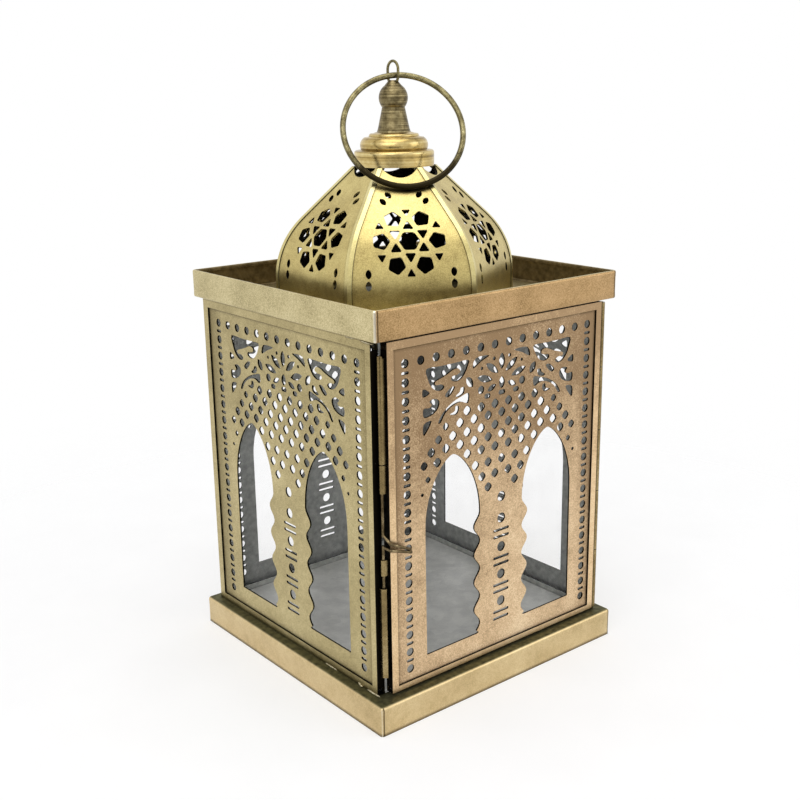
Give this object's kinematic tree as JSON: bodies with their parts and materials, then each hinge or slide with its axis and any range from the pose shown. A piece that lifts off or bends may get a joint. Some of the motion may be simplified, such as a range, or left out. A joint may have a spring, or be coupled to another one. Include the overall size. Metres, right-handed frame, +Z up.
{
  "type": "candle lantern",
  "caption": "Square table lantern of pierced antique-brass sheet over glass, with a hinged latched door, gallery tray, six-sided pierced dome, turned finial and carrying ring.",
  "frame": {"origin": "centre of the base pan's underside, on the surface the lantern stands on", "axes": "+Z up; the hinged door faces -Y, with its hinge at +X and its latch at -X"},
  "size_m": [0.128, 0.128, 0.245],
  "materials": {
    "antique_brass": "antiqued satin plate on thin sheet, finely mottled",
    "bright_brass": "smoother, brighter satin plate on the dome and collar",
    "dark_brass": "dark bronze tone on turned and wire pieces",
    "galvanised_sheet": "dull grey loose floor plate",
    "clear_glass": "clear, slightly dusty"
  },
  "bodies": {
    "lantern": {"base_pan": "antique_brass", "floor_plate": "galvanised_sheet", "left_top_rail": "antique_brass", "left_bottom_rail": "antique_brass", "left_rear_stile": "antique_brass", "left_front_stile": "antique_brass", "left_fretwork": "antique_brass", "left_glass": "clear_glass", "right_top_rail": "antique_brass", "right_bottom_rail": "antique_brass", "right_front_stile": "antique_brass", "right_rear_stile": "antique_brass", "right_fretwork": "antique_brass", "right_glass": "clear_glass", "back_top_rail": "antique_brass", "back_bottom_rail": "antique_brass", "back_right_stile": "antique_brass", "back_left_stile": "antique_brass", "back_fretwork": "antique_brass", "back_glass": "clear_glass", "hinge_body_knuckles": "antique_brass", "hinge_pin": "dark_brass", "latch_socket": "antique_brass", "tray": "antique_brass", "dome_gore_right": "bright_brass", "dome_gore_back_right": "bright_brass", "dome_gore_back_left": "bright_brass", "dome_gore_left": "bright_brass", "dome_gore_front_left": "bright_brass", "dome_gore_front_right": "bright_brass", "dome_ribs": "bright_brass", "collar": "bright_brass", "finial": "dark_brass", "eye": "dark_brass"},
    "door": {"door_top_rail": "antique_brass", "door_bottom_rail": "antique_brass", "door_latch_stile": "antique_brass", "door_hinge_stile": "antique_brass", "door_fretwork": "antique_brass", "door_glass": "clear_glass", "hinge_door_knuckles": "antique_brass", "latch_top_guide": "antique_brass", "latch_middle_guide": "antique_brass", "latch_low_guide": "antique_brass"},
    "latch_bolt": {"latch_bolt": "dark_brass"},
    "carrying_ring": {"ring": "dark_brass"}
  },
  "joints": [
    {"name": "door_swing", "type": "hinge", "parent": "lantern", "child": "door", "pos_m": [0.0584, -0.0582, 0.081], "axis": [0, 0, 1], "range_deg": [0, 150]},
    {"name": "latch_slide", "type": "slide", "parent": "door", "child": "latch_bolt", "axis": [0, 0, 1], "range_m": [-0.004, 0.01]},
    {"name": "ring_swing", "type": "hinge", "parent": "lantern", "child": "carrying_ring", "pos_m": [-0.0014, 0.0011, 0.239], "axis": [-0.866, 0.5, 0], "range_deg": [0, 300]}
  ]
}
